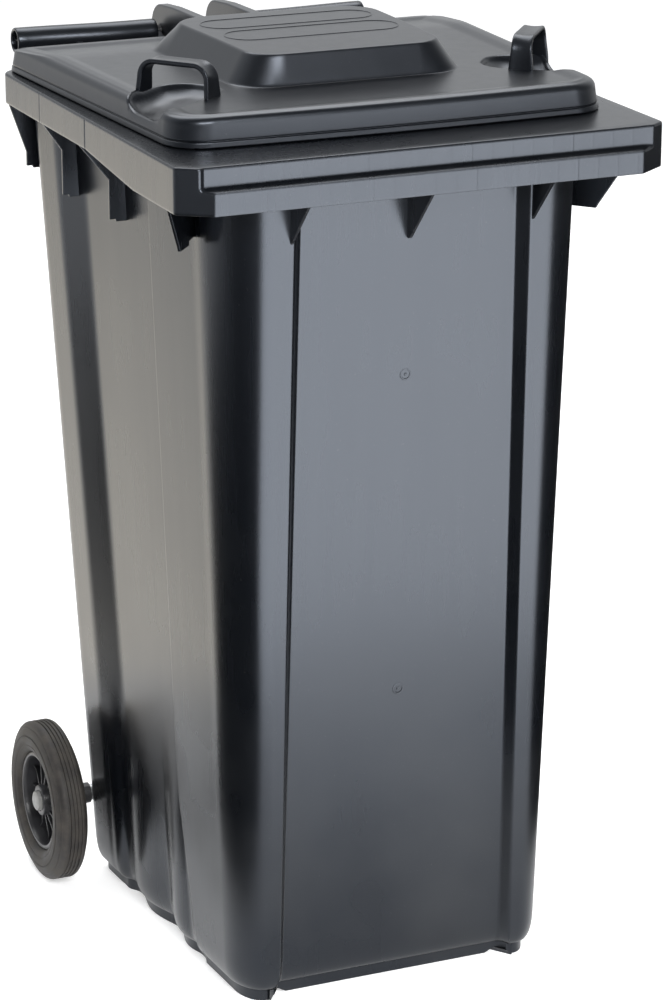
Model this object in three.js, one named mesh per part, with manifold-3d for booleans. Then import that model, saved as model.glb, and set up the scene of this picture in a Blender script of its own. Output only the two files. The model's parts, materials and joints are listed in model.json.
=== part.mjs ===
// A 240 litre two-wheeled refuse bin: one moulded body, a hinged lid and two rubber-tyred wheels.
// Millimetres, +Z up. The origin is on the ground under the middle of the bin's outer box,
// the front (the side that a refuse lorry's comb lifts) faces -Y, and the wheels are at +Y.
import * as THREE from 'three';
import { mergeVertices } from 'three/addons/utils/BufferGeometryUtils.js';
import Module from 'manifold-3d';

const wasm = await Module();
wasm.setup();

// ---------------------------------------------------------------- driving dimensions
const GAP = 0.3;                 // clearance between pieces that touch
const CURVE = 40;                // facets round a wheel

// Rim, the stiff frame round the mouth
const RIM_X = 290;               // half of the overall width
const RIM_FRONT = -365;          // front face of the lower comb band
const RIM_REAR = 225;
const RIM_TOP = 1017;
const RIM_LEDGE_Z = 993;         // where the front face steps back
const RIM_STEP = 13;             // how far the upper front band stands back
const RIM_FRONT_Z = 966;         // lower edge of the deep front band
const RIM_SIDE_Z = 981;          // lower edge of the shallow side band
const RIM_SKIN = 4;
const RIM_CHAMFER = [36, 26];    // front corners, in X and Y
const SIDE_DROP = [-65, -215];   // Y where the side band starts to deepen, and where it is deep
const MOUTH_Y = [-258, 205];     // front and rear edges of the opening
const MOUTH_HALF = [208, 236];   // half of its width, front and rear
const MOUTH_RADIUS = 30;

// Body walls. Each is given by its place at the top of the wall and its lean per millimetre of height.
const WALL = 3.8;
const WALL_TOP = 1014;
const PANEL_HALF = 137;          // half width of the recessed front panel
const PANEL_STEP = 14;           // width of the slanted edge beside it
const FRONT_Y = -300;            // recessed front panel at z = 950
const FRONT_LEAN = 0.04;
const COLUMN_DEPTH = 14;         // how far the front corner columns stand proud of the panel
const FRONT_HALF = 224;          // half width across the front corners at z = 950
const FRONT_HALF_LEAN = 0.03;
const REAR_HALF = 261;           // half width across the rear corners at z = 950
const REAR_HALF_LEAN = 0.055;
const REAR_Y = 213;
const REAR_LEAN = 0.017;
const FRONT_RADIUS = [28, 45];   // of the front corners, at the foot and at the top
const REAR_RADIUS = 36;
const SIDE_INSET = 12;           // depth of the recessed side panel
const CREASE_Y = -110;           // front edge of the side panel
const REAR_STEP_Y = [90, 124];   // slanted rear edge of the side panel
const FLUTE_PITCH = 103;         // waves along the foot of the side panel
const FLUTE_START = -143;
const FLUTE_TOP = 300;           // height at which the waves have died out
const FOOT_HEIGHT = 16;          // plinth ring that the bin stands on
const FOOT_INSET = 9;
const FOOT_HOLLOW_HALF = 166;    // hollow inside the plinth ring
const FOOT_HOLLOW_Y = [-222, 138];
const FLOOR_TOP = 23;
const ARCH_X = 145;              // small arches through the front of the plinth ring
const ARCH_RADIUS = 11;

// Gussets, the thin plates that tie the rim to the walls
const GUSSET = 4;                // thickness
const GUSSET_FOOT = 904;         // lowest point of the front ones
const FRONT_GUSSET_X = 145;
const SIDE_GUSSETS = [           // place along Y, how far out the upright edge stands, its bottom and top
  [210, 265, 903, 920],
  [95, 261, 892, 945],
  [-25, 248, 888, 934],
];
const CORNER_GUSSET = [226, -224];   // where the corner ones leave the wall
const CORNER_GUSSET_ANGLE = 50;      // degrees forward of the X axis

// Wheels and axle
const AXLE_Y = 183;
const AXLE_Z = 100;
const AXLE_RADIUS = 10;
const AXLE_HALF = 285;
const TYRE_RADIUS = 100;
const TYRE_SEAT = 62;
const TYRE_INNER_X = 246;
const TYRE_OUTER_X = 288;
const HUB_INNER_X = 240;
const HUB_OUTER_X = 276;
const HUB_RADIUS = 19;
const BUSH_RADIUS = 13;
const NOTCH_HALF = 190;          // half length of the axle housing under the floor
const NOTCH_Y = 152;
const NOTCH_TOP = 128;

// Hinge and handle
const HINGE_Y = 340;
const HINGE_Z = 1027;
const BAR_RADIUS = 16;
const BAR_BORE = 12;
const BAR_START = 53;            // inner end of each handle bar
const BAR_END = 230;
const BAR_SWEEP = 10;            // the bars' ends sweep back by this much
const BRACKET_X = [45, 53];      // plate between lid arm and handle bar
const OUTER_BRACKET_X = [150, 158];
const ARM_X = [29, 43];          // each lid arm
const LUG_RADIUS = 25;
const PIN_RADIUS = 6;

// Lid
const LID_FRONT = -279;
const LID_BOW = 8;               // the front edge curves back this much at its ends
const LID_FRONT_HALF = 262;
const LID_REAR_HALF = 281;
const LID_REAR = 231;
const LID_BOTTOM = 1018;
const LID_TOP = 1052;
const LID_FALL_Y = 110;          // behind this line the top falls towards the rear edge
const LID_FALL = [300, 17.5];    // where, and by how much, the falling plane is lower
const LID_SKIN = 3.4;
const LID_RADIUS = 45;
const LID_REAR_RADIUS = 26;
const HUMP_TOP = 1084;
const HUMP_HALF = [[134, 114], [146, 124]];   // half width at the foot and at the top: front, then rear
const HUMP_Y = [[-140, -129], [158, 121]];    // front and rear edges, at the foot and at the top
const HUMP_RADII = [40, 50];
const GRIP_CENTRES = { left: [-203, -130], right: [229, -128] };   // middles of the two corner grips
const GRIP_ANGLE = 52;           // degrees between a grip and the X axis
const GRIP_HALF = 46;
const GRIP_TOP = 1088;
const GRIP_WIDTH = 24;
const GRIP_SKIN = 7;
const GRIP_FOOT = 1030;
const GRIP_RADII = [15, 9];       // outer and inner bends of a grip
const POCKET_HALF = 38;          // half length of the finger pocket under a grip
const POCKET_FLOOR = [[-46, 1044], [-20, 1036], [105, 1026]];   // how far outboard of the grip, and height
const ARM_ROOT_Y = 112;          // where an arm leaves the hump
const ARM_TOP = 1080;
const ARM_WEB = [1030, 1035];    // cross web between the two arms

// ---------------------------------------------------------------- helpers
const rad = THREE.MathUtils.degToRad;
const mix = (a, b, t) => a + (b - a) * t;
const smooth = THREE.MathUtils.smoothstep;   // (value, low, high)

function solid(geometry) {
  const g = geometry.index ? geometry.toNonIndexed() : geometry.clone();
  for (const name of Object.keys(g.attributes)) if (name !== 'position') g.deleteAttribute(name);
  const merged = mergeVertices(g, 1e-3);
  return new wasm.Manifold(new wasm.Mesh({
    numProp: 3,
    vertProperties: new Float32Array(merged.attributes.position.array),
    triVerts: new Uint32Array(merged.index.array),
  }));
}

function geometryOf(body) {
  const mesh = body.getMesh();
  const g = new THREE.BufferGeometry();
  g.setAttribute('position', new THREE.BufferAttribute(mesh.vertProperties, 3));
  g.setIndex(new THREE.BufferAttribute(mesh.triVerts, 1));
  g.computeVertexNormals();
  return g;
}

const join = (...bodies) => bodies.reduce((sum, body) => sum.add(body));
const cut = (body, ...tools) => tools.reduce((rest, tool) => rest.subtract(tool), body);
const both = (make) => join(make(1), make(-1));

function box(x0, x1, y0, y1, z0, z1) {
  const g = new THREE.BoxGeometry(Math.abs(x1 - x0), y1 - y0, z1 - z0);
  return solid(g.translate((x0 + x1) / 2, (y0 + y1) / 2, (z0 + z1) / 2));
}

// A cylinder along X between two places on the line (y, z)
function rod(x0, x1, radius, y, z, facets = 32) {
  const g = new THREE.CylinderGeometry(radius, radius, Math.abs(x1 - x0), facets);
  return solid(g.rotateZ(Math.PI / 2).translate((x0 + x1) / 2, y, z));
}

// A flat plate with its outline in the YZ plane, between two X planes
function sidePlate(outline, x0, x1) {
  const shape = new THREE.Shape(outline.map(([y, z]) => new THREE.Vector2(y, z)));
  const g = new THREE.ExtrudeGeometry(shape, { depth: Math.abs(x1 - x0), bevelEnabled: false });
  g.applyMatrix4(new THREE.Matrix4().set(0, 0, 1, 0, 1, 0, 0, 0, 0, 1, 0, 0, 0, 0, 0, 1));
  return solid(g.translate(Math.min(x0, x1), 0, 0));
}

// A flat plate with its outline in the XZ plane, between two Y planes
function crossPlate(outline, y0, y1) {
  const shape = new THREE.Shape(outline.map(([x, z]) => new THREE.Vector2(x, z)));
  const g = new THREE.ExtrudeGeometry(shape, { depth: y1 - y0, bevelEnabled: false });
  return solid(g.rotateX(Math.PI / 2).translate(0, y1, 0));
}

// A closed body through rings of points that run anticlockwise round the Z axis, each at its own height
function loft(rings) {
  const count = rings[0].points.length;
  const position = rings.flatMap(({ points, z }) => points.flatMap(([x, y]) => [x, y, z]));
  const index = [];
  for (let level = 0; level < rings.length - 1; level += 1) {
    for (let i = 0; i < count; i += 1) {
      const a = level * count + i;
      const b = level * count + ((i + 1) % count);
      index.push(a, b, b + count, a, b + count, a + count);
    }
  }
  const cap = ({ points, z }, first, up) => {
    const middle = position.length / 3;
    const ys = points.map(([, y]) => y);
    position.push(0, (Math.min(...ys) + Math.max(...ys)) / 2, z);
    for (let i = 0; i < count; i += 1) {
      const ends = [first + i, first + ((i + 1) % count)];
      index.push(middle, ...(up ? ends : ends.reverse()));
    }
  };
  cap(rings[0], 0, false);
  cap(rings.at(-1), (rings.length - 1) * count, true);
  const g = new THREE.BufferGeometry();
  g.setAttribute('position', new THREE.Float32BufferAttribute(position, 3));
  g.setIndex(index);
  return solid(g);
}

// Points of an arc round (cx, cy), both ends included
function arc(cx, cy, radius, from, to, steps) {
  return Array.from({ length: steps + 1 }, (_, i) => {
    const angle = rad(mix(from, to, i / steps));
    return [cx + radius * Math.cos(angle), cy + radius * Math.sin(angle)];
  });
}

// The right half of an outline, front to rear, closed with its mirror image
function mirrored(half) {
  const left = half.filter(([x]) => x > 1e-6).map(([x, y]) => [-x, y]).reverse();
  return [...half, ...left];
}

// An outline moved inwards by a distance, each corner along its mitre
function inset(points, distance) {
  const n = points.length;
  return points.map(([x, y], i) => {
    const [px, py] = points[(i + n - 1) % n];
    const [qx, qy] = points[(i + 1) % n];
    const a = new THREE.Vector2(x - px, y - py).normalize();
    const b = new THREE.Vector2(qx - x, qy - y).normalize();
    const normal = new THREE.Vector2(-a.y - b.y, a.x + b.x).normalize();
    const stretch = Math.min(1 / Math.max(normal.dot(new THREE.Vector2(-a.y, a.x)), 0.5), 1.5);
    return [x + normal.x * distance * stretch, y + normal.y * distance * stretch];
  });
}

// A body of revolution about the X axis. The profile's points are [x, radius] and close on themselves.
function turned(profile, facets = CURVE) {
  const points = [...profile, profile[0]].reverse().map(([x, r]) => new THREE.Vector2(r, x));
  return new THREE.LatheGeometry(points, facets).rotateZ(-Math.PI / 2);
}

// ---------------------------------------------------------------- body
function wallSection(z) {
  const drop = 950 - z;
  const frontY = FRONT_Y + drop * FRONT_LEAN;
  const columnY = frontY - COLUMN_DEPTH;
  const frontHalf = FRONT_HALF - drop * FRONT_HALF_LEAN;
  const rearHalf = REAR_HALF - drop * REAR_HALF_LEAN;
  const slant = Math.max(0, NOTCH_TOP - 10 - z) * 0.2;
  const rearY = REAR_Y - drop * REAR_LEAN - slant;
  const radius = mix(...FRONT_RADIUS, z / 950);
  const sideFrom = columnY + radius;
  const sideTo = rearY - REAR_RADIUS;
  const sideX = (y) => mix(frontHalf, rearHalf, (y - sideFrom) / (sideTo - sideFrom));
  const wave = 1 - smooth(z, 30, FLUTE_TOP);
  const crease = mix(CREASE_Y, CREASE_Y - 30, 1 - smooth(z, 20, 240));
  const panelDepth = (y) => {
    const flute = 0.5 + 0.5 * Math.cos(((y - FLUTE_START) / FLUTE_PITCH) * 2 * Math.PI);
    return SIDE_INSET * mix(1, flute, wave);
  };
  const panel = Array.from({ length: 13 }, (_, i) => {
    const y = mix(crease + 12, REAR_STEP_Y[0], i / 12);
    return [sideX(y) - panelDepth(y), y];
  });
  return mirrored([
    [0, frontY],
    [PANEL_HALF, frontY],
    [PANEL_HALF + PANEL_STEP, columnY],
    ...arc(frontHalf - radius, sideFrom, radius, -90, 0, 6),
    [sideX(crease), crease],
    ...panel,
    [sideX(REAR_STEP_Y[1]), REAR_STEP_Y[1]],
    ...arc(rearHalf - REAR_RADIUS, sideTo, REAR_RADIUS, 0, 90, 5),
    [0, rearY],
  ]);
}

function bodyWalls() {
  const foot = inset(wallSection(0), FOOT_INSET);
  const rounding = [[16, 6], [19, 3], [26, 0.8], [36, 0]];
  const levels = [70, 118, 180, 240, 300, 620, WALL_TOP];
  const outer = loft([
    { points: foot, z: 0 },
    { points: foot, z: FOOT_HEIGHT },
    ...rounding.map(([z, d]) => ({ points: inset(wallSection(z), d), z: z + 0.01 })),
    ...levels.map((z) => ({ points: wallSection(z), z })),
  ]);
  const inner = loft([
    { points: inset(wallSection(FLOOR_TOP), WALL + 8), z: FLOOR_TOP },
    { points: inset(wallSection(40), WALL), z: 40 },
    ...levels.map((z) => ({ points: inset(wallSection(z), WALL), z: z + (z === WALL_TOP ? 30 : 0) })),
  ]);
  const housing = box(-300, 300, NOTCH_Y - WALL, 400, 0, NOTCH_TOP + WALL);
  const underFront = box(-FOOT_HOLLOW_HALF, FOOT_HOLLOW_HALF, ...FOOT_HOLLOW_Y, -1, FOOT_HEIGHT - 1);
  const notch = box(-NOTCH_HALF, NOTCH_HALF, NOTCH_Y, 400, -1, NOTCH_TOP);
  const arches = both((side) => solid(new THREE.CylinderGeometry(ARCH_RADIUS, ARCH_RADIUS, 70, 16)
    .scale(1, 1, 0.55).translate(side * ARCH_X, FOOT_HOLLOW_Y[0] - 28, 0)));
  return cut(outer, inner.subtract(housing), underFront, notch, arches);
}

function rimOutline(front, grow) {
  const [cx, cy] = RIM_CHAMFER;
  const x = RIM_X - grow;
  const rear = RIM_REAR - grow;
  return mirrored([
    [0, front],
    [x - cx, front],
    [x, RIM_FRONT + cy + grow * 0.6],
    ...arc(x - 22, rear - 22, 22, 0, 90, 4),
    [0, rear],
  ]);
}

function rim() {
  const lower = rimOutline(RIM_FRONT, 0);
  const skin = rimOutline(RIM_FRONT + RIM_STEP + RIM_SKIN, RIM_SKIN);
  const frame = loft([{ points: lower, z: RIM_FRONT_Z }, { points: lower, z: RIM_TOP }]);
  const channel = loft([{ points: skin, z: RIM_FRONT_Z - 1 }, { points: skin, z: RIM_TOP - RIM_SKIN }]);
  const behind = box(-RIM_X + 12, RIM_X - 12, RIM_FRONT + RIM_SKIN, RIM_FRONT + 40, RIM_FRONT_Z - 1,
    RIM_LEDGE_Z - 6);
  const step = box(-RIM_X + 24, RIM_X - 10, RIM_FRONT - 1, RIM_FRONT + RIM_STEP, RIM_LEDGE_Z, RIM_TOP + 1);
  const sideCut = both((side) => sidePlate([
    [SIDE_DROP[1], RIM_FRONT_Z - 1], [RIM_REAR + 1, RIM_FRONT_Z - 1], [RIM_REAR + 1, RIM_SIDE_Z],
    [SIDE_DROP[0], RIM_SIDE_Z]], side * (RIM_X + 1), side * (RIM_X - 20)));
  const rearCut = box(-RIM_X, RIM_X, RIM_REAR - 24, RIM_REAR + 1, RIM_FRONT_Z - 1, RIM_SIDE_Z);
  const corner = MOUTH_RADIUS;
  const mouth = mirrored([
    [0, MOUTH_Y[0]],
    ...arc(MOUTH_HALF[0] - corner, MOUTH_Y[0] + corner, corner, -90, 0, 5),
    ...arc(MOUTH_HALF[1] - corner, MOUTH_Y[1] - corner, corner, 0, 90, 5),
    [0, MOUTH_Y[1]],
  ]);
  const opening = loft([{ points: mouth, z: 900 }, { points: mouth, z: RIM_TOP + 5 }]);
  return cut(frame, channel, behind, step, sideCut, rearCut, opening);
}

function gussets() {
  const thick = GUSSET / 2;
  const buried = RIM_FRONT_Z + 20;
  const wallY = FRONT_Y + 2;
  const front = [
    [RIM_FRONT + 4, buried],
    [RIM_FRONT + 4, RIM_FRONT_Z],
    [wallY, GUSSET_FOOT],
    [wallY + 8, GUSSET_FOOT],
    [wallY + 8, buried],
  ];
  const fronts = [-FRONT_GUSSET_X, 0, FRONT_GUSSET_X].map((x) => sidePlate(front, x - thick, x + thick));
  const sides = SIDE_GUSSETS.map(([y, edgeX, edgeFoot, edgeTop]) => {
    const plate = crossPlate([
      [edgeX - 30, RIM_SIDE_Z + 10],
      [edgeX - 30, edgeFoot],
      [edgeX, edgeFoot],
      [edgeX, edgeTop],
      [RIM_X - 4, RIM_SIDE_Z],
      [RIM_X - 4, RIM_SIDE_Z + 10],
    ], y - thick, y + thick);
    return join(plate, plate.mirror([1, 0, 0]));
  });
  const corner = crossPlate([
    [-12, buried],
    [-12, GUSSET_FOOT],
    [44, GUSSET_FOOT],
    [82, RIM_FRONT_Z],
    [82, buried],
  ], -thick, thick).rotate([0, 0, -CORNER_GUSSET_ANGLE]).translate([...CORNER_GUSSET, 0]);
  return join(...fronts, ...sides, corner, corner.mirror([1, 0, 0]));
}

// A round bar along the handle's swept path
function handleBar(side, radius, from, to) {
  const points = Array.from({ length: 9 }, (_, i) => {
    const x = mix(from, to, i / 8);
    const sweep = smooth(x, 90, BAR_END) * BAR_SWEEP;
    return new THREE.Vector3(side * x, HINGE_Y - 4 + sweep, HINGE_Z - 1);
  });
  const path = new THREE.CatmullRomCurve3(points);
  const section = new THREE.Shape();
  section.absarc(0, 0, radius, 0, 2 * Math.PI);
  return solid(new THREE.ExtrudeGeometry(section, {
    extrudePath: path, steps: 8, curveSegments: 10, bevelEnabled: false }));
}

function bracket(side, [x0, x1], reach) {
  return sidePlate([
    [REAR_Y - 8, 1005], [REAR_Y - 8, 940], [REAR_Y + 6, 940], ...arc(reach, HINGE_Z - 1, 15, -70, 90, 6),
    [RIM_REAR + 6, RIM_TOP - 1], [RIM_REAR - 1, RIM_TOP - 1], [RIM_REAR - 1, 1005],
  ], side * x0, side * x1);
}

function body() {
  const bars = both((side) => handleBar(side, BAR_RADIUS, BAR_START - 1, BAR_END));
  const bores = both((side) => handleBar(side, BAR_BORE, BAR_START, BAR_END + 12));
  const brackets = both((side) => join(
    bracket(side, BRACKET_X, HINGE_Y), bracket(side, OUTER_BRACKET_X, HINGE_Y - 4)));
  const ribs = [-158, -95, -32, 32, 95, 158].map((x) => sidePlate([
    [NOTCH_Y - 1, 0], [AXLE_Y - 5, 0], [AXLE_Y + 18, NOTCH_TOP - 10], [AXLE_Y + 18, NOTCH_TOP + 1],
    [NOTCH_Y - 1, NOTCH_TOP + 1]], x - 2.5, x + 2.5));
  const axleHole = rod(-300, 300, AXLE_RADIUS + GAP, AXLE_Y, AXLE_Z);
  const pinHoles = rod(-BRACKET_X[1] - 1, BRACKET_X[1] + 1, PIN_RADIUS + GAP, HINGE_Y, HINGE_Z);
  const whole = join(bodyWalls(), rim(), gussets(), bars, brackets, ...ribs);
  return cut(whole, bores, axleHole, pinHoles);
}

// ---------------------------------------------------------------- lid
function lidSection(offset) {
  const frontHalf = LID_FRONT_HALF - offset;
  const front = (x) => LID_FRONT + offset + LID_BOW * (x / LID_FRONT_HALF) ** 2;
  const cornerX = frontHalf - LID_RADIUS;
  const edge = [0, 0.35, 0.7].map((t) => [t * cornerX, front(t * cornerX)]);
  const rearHalf = LID_REAR_HALF - offset;
  return mirrored([
    ...edge,
    ...arc(cornerX, front(cornerX) + LID_RADIUS, LID_RADIUS, -90, 0, 7),
    ...arc(rearHalf - LID_REAR_RADIUS, LID_REAR - offset - LID_REAR_RADIUS, LID_REAR_RADIUS, 0, 90, 5),
    [0, LID_REAR - offset],
  ]);
}

function lidTray(offset, bottom, top) {
  const edge = [[top - 9, 0.8], [top - 6, 1.9], [top - 2.6, 4.8], [top, 10]];
  const tray = loft([
    { points: lidSection(offset), z: bottom },
    ...edge.map(([z, d]) => ({ points: lidSection(offset + d), z })),
  ]);
  const [fallY, drop] = LID_FALL;
  const fall = sidePlate([[LID_FALL_Y, top], [fallY, top - drop], [fallY, top + 5], [LID_FALL_Y, top + 5]],
    -RIM_X, RIM_X);
  return tray.subtract(fall);
}

function humpSection(z, offset) {
  const t = (z - LID_TOP) / (HUMP_TOP - LID_TOP);
  const [frontHalf, rearHalf] = HUMP_HALF.map((ends) => mix(...ends, t) - offset);
  const front = mix(...HUMP_Y[0], t) + offset;
  const rear = mix(...HUMP_Y[1], t) - offset;
  const [bend, rearBend] = HUMP_RADII;
  return mirrored([
    [0, front],
    ...arc(frontHalf - bend, front + bend, bend, -90, 0, 5),
    ...arc(rearHalf - rearBend, rear - rearBend, rearBend, 0, 90, 5),
    [0, rear],
  ]);
}

function hump(offset, bottom, top) {
  const ring = (z, extra) => ({ points: humpSection(Math.min(z, top), offset + extra), z });
  return loft([ring(bottom, 0), ring(top - 3, 0), ring(top - 1, 1), ring(top, 4)]);
}

// Turns a shape built about the origin, across the bin, to stand at a corner grip
function atGrip(shape, side) {
  const [x, y] = side > 0 ? GRIP_CENTRES.right : GRIP_CENTRES.left;
  return shape.rotate([0, 0, side * GRIP_ANGLE]).translate([x, y, 0]);
}

// The finger pocket under a corner grip: it opens at the inner side of the grip and through the skirt
function gripPocket(side, grow) {
  const half = POCKET_HALF + grow;
  const [inner, middle, outer] = POCKET_FLOOR;
  const outline = [[inner[0] - grow, GRIP_TOP], [inner[0] - grow, inner[1] - grow], [middle[0], middle[1] - grow],
    [outer[0], outer[1] - grow], [outer[0], GRIP_TOP]];
  const trough = sidePlate(outline.map(([out, z]) => [-out, z]), -half, half);
  return atGrip(trough, side);
}

function cornerGrip(side) {
  const arch = (half, top, radius) => [
    [half, GRIP_FOOT],
    ...arc(half - radius, top - radius, radius, 0, 90, 4),
    ...arc(-half + radius, top - radius, radius, 90, 180, 4),
    [-half, GRIP_FOOT],
  ];
  const outer = crossPlate(arch(GRIP_HALF, GRIP_TOP, GRIP_RADII[0]), -GRIP_WIDTH / 2, GRIP_WIDTH / 2);
  const hole = crossPlate(arch(GRIP_HALF - GRIP_SKIN, GRIP_TOP - GRIP_SKIN, GRIP_RADII[1]), -GRIP_WIDTH, GRIP_WIDTH);
  return atGrip(outer.subtract(hole), side);
}

function lidArm(side) {
  return sidePlate([
    [ARM_ROOT_Y, ARM_TOP - 44],
    [LID_REAR - 1, ARM_TOP - 52],
    ...arc(HINGE_Y, HINGE_Z, LUG_RADIUS, -100, 85, 12),
    [LID_REAR - 5, ARM_TOP - 5],
    [ARM_ROOT_Y, ARM_TOP],
  ], side * ARM_X[0], side * ARM_X[1]);
}

function lid() {
  const pockets = both((side) => gripPocket(side, 0));
  const pocketWalls = both((side) => gripPocket(side, LID_SKIN));
  const outer = join(lidTray(0, LID_BOTTOM, LID_TOP), hump(0, LID_TOP - 8, HUMP_TOP)).subtract(pockets);
  const hollow = join(lidTray(LID_SKIN, LID_BOTTOM - 1, LID_TOP - LID_SKIN),
    hump(LID_SKIN, LID_TOP - 10, HUMP_TOP - LID_SKIN)).subtract(pocketWalls);
  const arms = both(lidArm);
  const web = box(-ARM_X[0] - 1, ARM_X[0] + 1, LID_REAR - 6, HINGE_Y - 34, ...ARM_WEB);
  const below = box(-RIM_X, RIM_X, RIM_FRONT, RIM_REAR, WALL_TOP, GRIP_FOOT + 0.5);
  const grips = both(cornerGrip).subtract(join(hollow, below));
  const pinHoles = rod(-BRACKET_X[1], BRACKET_X[1], PIN_RADIUS + GAP, HINGE_Y, HINGE_Z);
  return cut(join(outer.subtract(hollow), arms, web, grips), pinHoles);
}

// ---------------------------------------------------------------- small parts
function hingePin(side) {
  const [headStart, shaftEnd] = [BRACKET_X[1] + GAP, ARM_X[0] - 2];
  return join(rod(side * shaftEnd, side * (headStart + 1), PIN_RADIUS, HINGE_Y, HINGE_Z, 24),
    rod(side * headStart, side * (headStart + 5), 9, HINGE_Y - 3, HINGE_Z - 1, 24));
}

const ringProfile = (x0, x1, r0, r1) => [[x0, r0], [x1, r0], [x1, r1], [x0, r1]];

function tyreProfile() {
  const flank = [[8, TYRE_SEAT], [2, 67], [0, 76], [1, 86], [4, 92], [6, 97], [11, TYRE_RADIUS]];
  const outer = flank.map(([inward, r]) => [TYRE_OUTER_X - inward, r]);
  const inner = flank.map(([inward, r]) => [TYRE_INNER_X + inward, r]).reverse();
  return [...outer, ...inner];
}

function wheelRim() {
  const [a, b] = [TYRE_INNER_X, TYRE_OUTER_X];
  const seat = TYRE_SEAT - GAP;
  const bore = BUSH_RADIUS + GAP;
  const shell = solid(turned([
    [HUB_INNER_X, bore], [HUB_OUTER_X, bore], [HUB_OUTER_X, HUB_RADIUS], [262, HUB_RADIUS + 1],
    [262, 54], [b - 9, 56], [b - 8, seat], [a + 8, seat], [a + 9, 56], [256, 54], [256, HUB_RADIUS + 1],
    [HUB_INNER_X, HUB_RADIUS],
  ]));
  const spokes = Array.from({ length: 12 }, (_, i) => {
    const spoke = sidePlate([[HUB_RADIUS - 1, -1.5], [56, -1.5], [56, 1.5], [HUB_RADIUS - 1, 1.5]], 245, 273);
    return spoke.rotate([i * 30, 0, 0]);
  });
  return join(shell, ...spokes);
}

// ---------------------------------------------------------------- materials
const plastic = new THREE.MeshStandardMaterial({ color: 0x2b2e33, roughness: 0.35, metalness: 0 });
const blackPlastic = new THREE.MeshStandardMaterial({ color: 0x141516, roughness: 0.5, metalness: 0 });
const rubber = new THREE.MeshStandardMaterial({ color: 0x2c2a28, roughness: 0.9, metalness: 0 });
const steel = new THREE.MeshStandardMaterial({ color: 0xa8abad, roughness: 0.4, metalness: 0.9 });

// ---------------------------------------------------------------- assembly
const bin = new THREE.Group();

function add(parent, name, shape, material) {
  const mesh = new THREE.Mesh(shape.isBufferGeometry ? shape : geometryOf(shape), material);
  mesh.name = name;
  parent.add(mesh);
}

add(bin, 'body', body(), plastic);
add(bin, 'lid', lid(), plastic);
add(bin, 'axle', rod(-AXLE_HALF, AXLE_HALF, AXLE_RADIUS, AXLE_Y, AXLE_Z), steel);

for (const [side, word] of [[-1, 'left'], [1, 'right']]) {
  add(bin, `hinge_pin_${word}`, hingePin(side), blackPlastic);
  const wheel = new THREE.Group();
  wheel.position.set(0, AXLE_Y, AXLE_Z);
  wheel.rotation.z = side > 0 ? 0 : Math.PI;
  bin.add(wheel);
  const sleeve = AXLE_RADIUS + GAP;
  const rearHalf = REAR_HALF - (950 - AXLE_Z) * REAR_HALF_LEAN;
  const flange = HUB_OUTER_X + 2;
  add(wheel, `axle_spacer_${word}`,
    turned(ringProfile(rearHalf + GAP, HUB_INNER_X - 2 - 2 * GAP, sleeve, BUSH_RADIUS), 24), blackPlastic);
  add(wheel, `inner_washer_${word}`,
    turned(ringProfile(HUB_INNER_X - 2 - GAP, HUB_INNER_X - GAP - 0.2, sleeve, 17), 24), steel);
  add(wheel, `wheel_bush_inner_${word}`,
    turned(ringProfile(HUB_INNER_X, 255.8, sleeve, BUSH_RADIUS), 24), blackPlastic);
  add(wheel, `wheel_bush_outer_${word}`,
    turned(ringProfile(256.2, HUB_OUTER_X, sleeve, BUSH_RADIUS), 24), blackPlastic);
  add(wheel, `wheel_rim_${word}`, wheelRim(), blackPlastic);
  add(wheel, `tyre_${word}`, turned(tyreProfile()), rubber);
  add(wheel, `outer_washer_${word}`,
    turned(ringProfile(HUB_OUTER_X + GAP, flange, sleeve, 17), 24), steel);
  add(wheel, `retaining_cap_${word}`, turned([
    [flange + GAP, sleeve], [AXLE_HALF + GAP, sleeve], [AXLE_HALF + GAP, 0], [AXLE_HALF + 2, 0],
    [AXLE_HALF + 1.4, 8], [AXLE_HALF - 0.5, 12], [flange + GAP, 12.5]], 24), steel);
}

export default bin;
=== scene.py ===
import json
import math

import bpy
import numpy as np
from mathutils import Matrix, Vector


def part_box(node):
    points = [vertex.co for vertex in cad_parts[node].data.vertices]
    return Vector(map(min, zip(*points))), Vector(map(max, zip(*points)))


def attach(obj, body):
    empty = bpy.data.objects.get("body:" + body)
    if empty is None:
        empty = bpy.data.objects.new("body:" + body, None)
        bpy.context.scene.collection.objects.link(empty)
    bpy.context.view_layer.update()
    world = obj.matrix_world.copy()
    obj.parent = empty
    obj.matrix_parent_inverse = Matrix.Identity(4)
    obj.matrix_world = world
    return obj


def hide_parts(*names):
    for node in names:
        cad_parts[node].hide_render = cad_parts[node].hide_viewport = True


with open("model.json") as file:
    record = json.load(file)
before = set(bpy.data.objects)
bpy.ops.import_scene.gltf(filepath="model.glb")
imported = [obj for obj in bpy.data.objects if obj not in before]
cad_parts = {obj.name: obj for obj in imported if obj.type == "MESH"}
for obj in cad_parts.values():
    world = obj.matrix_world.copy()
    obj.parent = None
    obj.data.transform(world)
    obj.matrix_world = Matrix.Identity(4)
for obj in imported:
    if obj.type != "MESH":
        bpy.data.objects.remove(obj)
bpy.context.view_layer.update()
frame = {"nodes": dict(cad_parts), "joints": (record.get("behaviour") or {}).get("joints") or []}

MM = 0.001


# ---------------------------------------------------------------- places taken from the frame
def corners(node):
    return [np.array(corner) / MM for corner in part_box(node)]


def joint_place(name):
    joint = next(j for j in frame["joints"] if j["name"] == name)
    return np.array(joint["pos_m"]) / MM


BODY_LOW, BODY_HIGH = corners("body")
LID_LOW, LID_HIGH = corners("lid")
TYRE_LOW, TYRE_HIGH = corners("tyre_right")
WHEEL_LOW, WHEEL_HIGH = corners("wheel_rim_right")
HINGE = joint_place("lid_hinge")
AXLE = joint_place("wheel_right_spin")

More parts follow.
